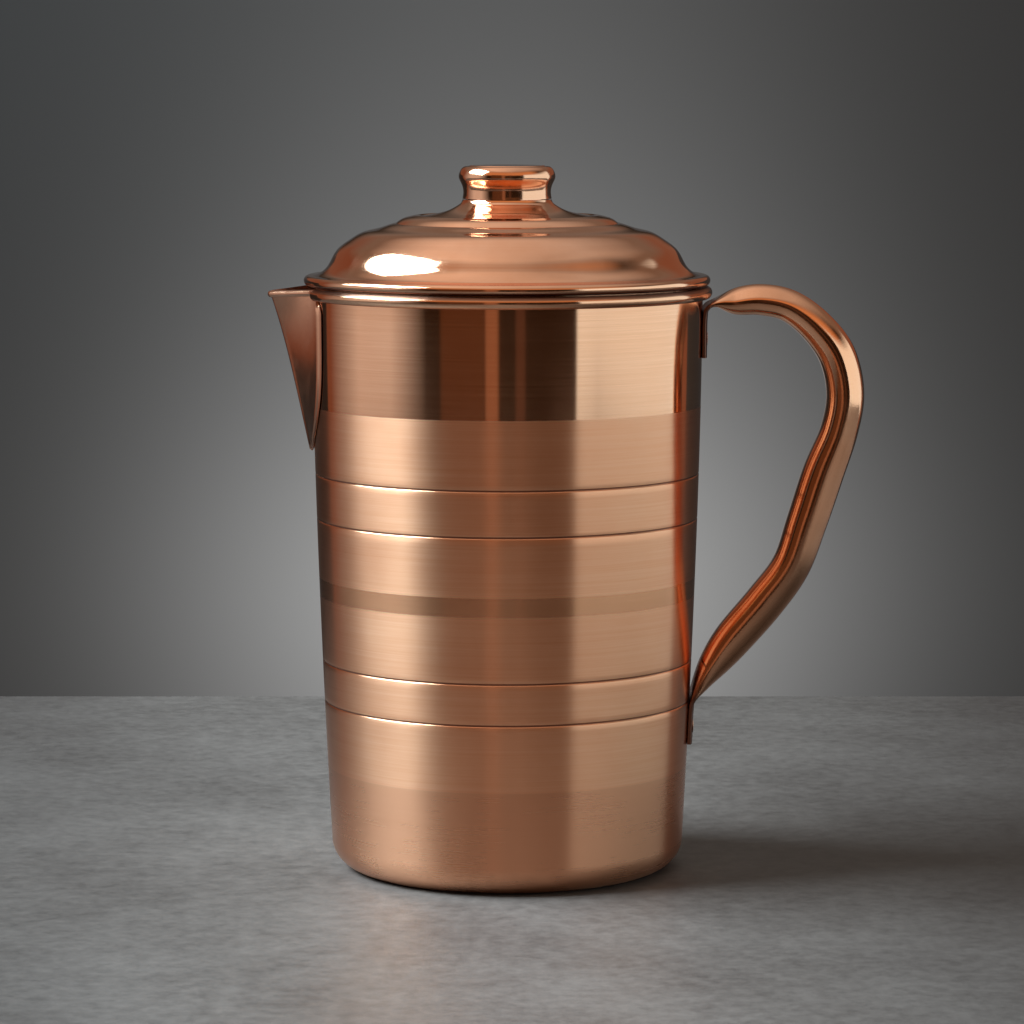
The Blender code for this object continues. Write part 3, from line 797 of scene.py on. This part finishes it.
def body_copper():
    skin = Copper("body_copper", anisotropy=0.95)
    x, y, z = skin.x, skin.y, skin.z
    fine = skin.noise(skin.vector(x * 40, y * 40, z * 4200), detail=2.0)
    streak = skin.noise(skin.vector(x * 9, y * 9, z * 1500), detail=3.0)
    cloud = skin.noise(skin.place, scale=42.0, detail=4.0)
    soft = 0.35 * MM
    stripe = z.between(*STRIPE, soft)
    belt = z.between(*BRUSHED, soft) * (1.0 - stripe)
    base = 1.0 - z.above(BRUSHED[0], soft)
    lines = (fine - 0.5) * 1.2 + (streak - 0.5) * 1.2
    # Painted shade: a dark band over the upper half of each engraved line, where its upper edge
    # shades it.
    groove_shade = sum((z.between(line - 0.05 * LINE_WIDTH, line + 0.6 * LINE_WIDTH, 0.1 * MM)
                  for line in LINES), 0.0)
    # Painted shade: the rim's crown, in the gap under the lid's brim, is darkened; it is also made
    # rougher.
    shaded_crown = z.above(ROLL_CENTRE[1] + 0.9 * MM, 0.5 * MM)
    rough = (0.13 + belt * 0.17 + base * 0.15 + stripe * 0.10 + lines * 0.03
             + (cloud - 0.5) * 0.06 + shaded_crown * 0.2)
    tone = (0.5 + lines * 0.55 + (cloud - 0.5) * 0.5).clamped()
    polished = skin.mix(tone, (0.74, 0.35, 0.19), (0.95, 0.53, 0.34))
    brushed = skin.mix(tone, (0.88, 0.36, 0.19), (1.0, 0.55, 0.335))
    colour = skin.mix(belt, polished, brushed)
    colour = skin.mix(stripe * 0.5, colour, (0.84, 0.36, 0.17))
    colour = skin.mix(base * (0.75 + 0.25 * cloud), colour, (0.86, 0.40, 0.23))
    # Painted shade in the engraved lines and on the rim's crown.
    colour = skin.mix((groove_shade + shaded_crown).clamped() * 0.8, colour, PAINTED_SHADE)
    relief = fine * (0.35 + belt * 0.65 - base * 0.2) + streak * (0.3 + belt * 0.1 - base * 0.25)
    return skin.finish(colour, rough, relief, 0.0015 * MM)


def polished_copper(name, dark, light, rough, wave=0.0, painted_shade_mask=None):
    """Buffed copper: faint turning lines, cloudy smudges and a slightly uneven surface."""
    skin = Copper(name)
    lines = skin.noise(skin.vector(skin.radius * 1500, skin.z * 1500, skin.x * 12), detail=2.0)
    cloud = skin.noise(skin.place, scale=55.0, detail=5.0, roughness=0.6)
    smudge = skin.noise(skin.place, scale=150.0, detail=3.0)
    tone = (0.5 + (cloud - 0.5) * 1.2 + (lines - 0.5) * 0.3).clamped()
    colour = skin.mix(tone, dark, light)
    roughness = rough + (cloud - 0.45).clamped() * 0.25 + (smudge - 0.55).clamped() * 0.3
    # Painted shade where a mask is given: the copper is darkened there and made rougher.
    if painted_shade_mask:
        shade_amount = painted_shade_mask(skin)
        colour = skin.mix(shade_amount * 0.9, colour, PAINTED_SHADE)
        roughness = roughness + shade_amount * 0.2
    dents = skin.noise(skin.place, scale=70.0, detail=1.0)
    relief = lines * 0.01 + dents * wave
    return skin.finish(colour, roughness, relief, 1 * MM)


def tab_painted_shade(skin):
    """Painted shade on both tabs where they lie against the wall, fading out up the tube."""
    foot, head = LOWER_TAB[0], UPPER_TAB[1]
    lean = (tab_centre(head) - tab_centre(foot)) / (head - foot)
    off_the_wall = skin.x - (skin.z - foot) * lean - tab_centre(foot)
    return 1.0 - off_the_wall.above(2.4 * MM, 2.6 * MM)


def brim_painted_shade(skin):
    # Painted shade under the lid's rolled brim, where it sits on the jug's rim.
    return 1.0 - skin.z.above(BRIM_CENTRE[1] - 0.7 * MM, 0.5 * MM)


def satin_copper(name, dark, light):
    skin = Copper(name, 0.5)
    cloud = skin.noise(skin.place, scale=90.0, detail=5.0, roughness=0.65)
    lines = skin.noise(skin.vector(skin.x * 30, skin.y * 30, skin.z * 2000), detail=2.0)
    colour = skin.mix((0.5 + (cloud - 0.5) * 1.4).clamped(), dark, light)
    return skin.finish(colour, 0.3 + (cloud - 0.5) * 0.3 + (lines - 0.5) * 0.15, lines, 0.004 * MM)


# ---------------------------------------------------------------- stage

def stone_grey():
    """Floor of worn grey stone, with a painted pool of light: its colour darkens to the sides."""
    material = bpy.data.materials.new("floor_grey")
    material.use_nodes = True
    tree = Tree(material.node_tree)
    shader = material.node_tree.nodes["Principled BSDF"]
    place = tree.node("ShaderNodeTexCoord", output="Object")
    cloud = tree.noise(place, 11.0, 9.0, 0.66)
    grain = tree.noise(place, 170.0, 5.0, 0.75)
    tone = (0.5 + (cloud - 0.5) * 1.9 + (grain - 0.5) * 2.2).clamped()
    # Painted light: the stone is darkened away from the middle as if the pool of light fell off,
    # and lightened again far to the sides.
    aside = tree.split(place).out("X") / 0.165
    painted_light_falloff = 1.0 / (1.0 + aside * aside) ** 1.2 + aside.above(1.9, 0.6) * 1.5
    colour = tree.mix((tone * 0.36 + 0.24) * painted_light_falloff, (0.008, 0.008, 0.0085), (0.152, 0.158, 0.158))
    tree.link(colour, shader, "Base Color")
    tree.link(0.5 + (cloud - 0.5) * 0.3, shader, "Roughness")
    return material


def backdrop_grey():
    """Cloth with a painted glow in place of light from behind, brightest low down in the middle."""
    material = bpy.data.materials.new("backdrop_grey")
    material.use_nodes = True
    tree = Tree(material.node_tree)
    shader = material.node_tree.nodes["Principled BSDF"]
    shader.inputs["Base Color"].default_value = (0.02, 0.02, 0.02, 1.0)
    shader.inputs["Emission Strength"].default_value = 1.0
    place = tree.split(tree.node("ShaderNodeTexCoord", output="Object"))
    aside = place.out("X") / 0.28
    aloft = (place.out("Z") + 0.21) / 0.23
    # Painted light: the cloth glows by its own emission, brightest low down in the middle.
    painted_glow = place.math("EXPONENT", aside * aside * -1.0) / (1.0 + aloft * aloft)
    colour = tree.mix(painted_glow, (0.0085, 0.0085, 0.0085), (0.38, 0.38, 0.377))
    tree.link(colour, shader, "Emission Color")
    return material


def slab(name, corners, material):
    mesh = bpy.data.meshes.new(name)
    mesh.from_pydata(corners, [], [(0, 1, 2, 3)])
    mesh.materials.append(material)
    obj = new_object(name, mesh)
    return obj


def panel(name, azimuth, elevation, distance, size, radiance, colour=(1, 1, 1), diffuse=True):
    """A soft light, either cast on things or mirrored in them.

    Azimuth 0 is the camera's side and 90 the handle's side.
    """
    light = bpy.data.lights.new(name, "AREA")
    light.shape = "RECTANGLE"
    light.size, light.size_y = size
    light.energy = 4 * size[0] * size[1] * radiance
    light.color = colour
    obj = new_object(name, light)
    turn, lift = math.radians(azimuth), math.radians(elevation)
    aim = Vector((0.0, 0.0, 0.1))
    obj.location = aim + distance * Vector((math.sin(turn) * math.cos(lift),
                                            -math.cos(turn) * math.cos(lift), math.sin(lift)))
    obj.rotation_euler = (obj.location - aim).to_track_quat("Z", "Y").to_euler()
    obj.visible_camera = False
    obj.visible_diffuse = diffuse
    obj.visible_glossy = not diffuse
    return obj


# Screens and openings round the jug at its own height, as it sees them:
# (from, softness there, to, softness there, colour), in degrees from the camera's side
SCREENS = [
    (-165, 10, -112, 30, (0.20, 0.085, 0.05)),
    (-112, 30, -60, 24, (0.68, 0.68, 0.68)),
    (-39, 2, -13, 3, (0.095, 0.043, 0.020)),
    (-12.5, 1.5, -5, 2, (0.28, 0.145, 0.085)),
    (5, 1.5, 10.5, 1.5, (0.085, 0.044, 0.028)),
    (41, 1.5, 123, 5, (1.0, 1.22, 1.28)),
    (123, 5, 170, 8, (0.22, 0.10, 0.06)),
]


def room():
    """The room as the copper mirrors it: dark with screens, and lit from above."""
    world = bpy.data.worlds.new("room")
    bpy.context.scene.world = world
    world.use_nodes = True
    tree = Tree(world.node_tree)
    way = tree.split(tree.node("ShaderNodeTexCoord", output="Generated"))
    turn = way.math("ARCTAN2", way.out("X"), way.out("Y") * -1.0) * math.degrees(1)
    level = way.out("Z").between(-0.4, 0.42, 0.16)
    left = (way.out("X") * -1.0).above(0.0, 0.6)
    front = 1.0 - way.out("Y").above(-0.15, 0.4)
    ceiling = tree.mix(left, (0.53, 0.49, 0.45), (0.86, 0.78, 0.70))
    back = way.out("Y").above(0.15, 0.3) * way.out("Z").above(0.26, 0.2)
    around = tree.mix(back, (0.022, 0.013, 0.007), (0.20, 0.16, 0.13))
    around = tree.mix(way.out("Z").above(0.72, 0.3), around, ceiling)
    around = tree.mix(way.out("Z").between(0.38, 0.70, 0.2) * front, around, (0.62, 0.32, 0.15))
    for start, start_soft, end, end_soft, colour in SCREENS:
        width = turn.above(start, start_soft) * (1.0 - turn.above(end, end_soft))
        around = tree.mix(width * level, around, colour)
    tree.link(around, world.node_tree.nodes["Background"], "Color")


def make_stage():
    slab("floor", [(-1.0, -0.75, 0), (1.0, -0.75, 0), (1.0, 0.342, 0), (-1.0, 0.342, 0)],
         stone_grey())
    slab("backdrop", [(-2.5, 2.2, -1.5), (2.5, 2.2, -1.5), (2.5, 2.2, 0.5), (-2.5, 2.2, 0.5)],
         backdrop_grey())
    panel("key", -88, 42, 1.3, (1.0, 0.6), 36.0)
    panel("key_sheen", -88, 42, 1.2, (0.92, 0.55), 15.0, (0.72, 1.0, 1.15), diffuse=False)
    room()

    bpy.context.scene.view_settings.view_transform = "Standard"

    camera = bpy.data.cameras.new("camera")
    camera.sensor_fit = "HORIZONTAL"
    camera.sensor_width = 36.0
    camera.lens = 135.8
    camera.clip_start = 0.05
    obj = new_object("camera", camera)
    obj.location = (0.0016, -1.2593, 0.2602)
    obj.rotation_euler = (math.radians(90 - 6.497), 0.0, 0.0)
    bpy.context.scene.camera = obj


# ---------------------------------------------------------------- build

LATHE = make_lathe()
make_stage()

JUG = [
    (make_jug_wall(body_copper()), "body_copper", ["jug_body"]),
    # Painted shade on the spout's inner side, in the channel against the wall.
    (make_spout(polished_copper("spout_copper", (0.66, 0.30, 0.18), COPPER, 0.17, 0.05,
                                painted_shade_mask=lambda skin: skin.attribute("inside"))), "spout_copper",
     ["spout"]),
    (make_handle(polished_copper("handle_copper", (0.86, 0.38, 0.20), (0.96, 0.53, 0.33), 0.1,
                                 0.03, painted_shade_mask=tab_painted_shade)), "handle_copper", ["handle"]),
    (make_rivets(satin_copper("rivet_copper", DEEP, COPPER)), "rivet_copper",
     ["upper_rivet_1", "upper_rivet_2", "lower_rivet_1", "lower_rivet_2"]),
]
LID = [
    (make_lid_shell(polished_copper("lid_copper", (0.82, 0.39, 0.22), (0.93, 0.53, 0.35), 0.08,
                                    painted_shade_mask=brim_painted_shade)), "lid_copper", ["lid_dome"]),
    (make_lid_ring(satin_copper("collar_copper", (0.7, 0.33, 0.2), COPPER)), "collar_copper",
     ["lid_collar"]),
    (make_knob(polished_copper("knob_copper", (0.80, 0.37, 0.21), (0.92, 0.51, 0.33), 0.09)),
     "knob_copper", ["knob"]),
]
for body, pieces in (("jug", JUG), ("lid", LID)):
    for piece, slot, nodes in pieces:
        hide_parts(*nodes)
        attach(piece, body)

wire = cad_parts["rim_wire"]
wire.data.materials.clear()
wire.data.materials.append(satin_copper("wire_copper", DEEP, COPPER))

bpy.context.view_layer.update()
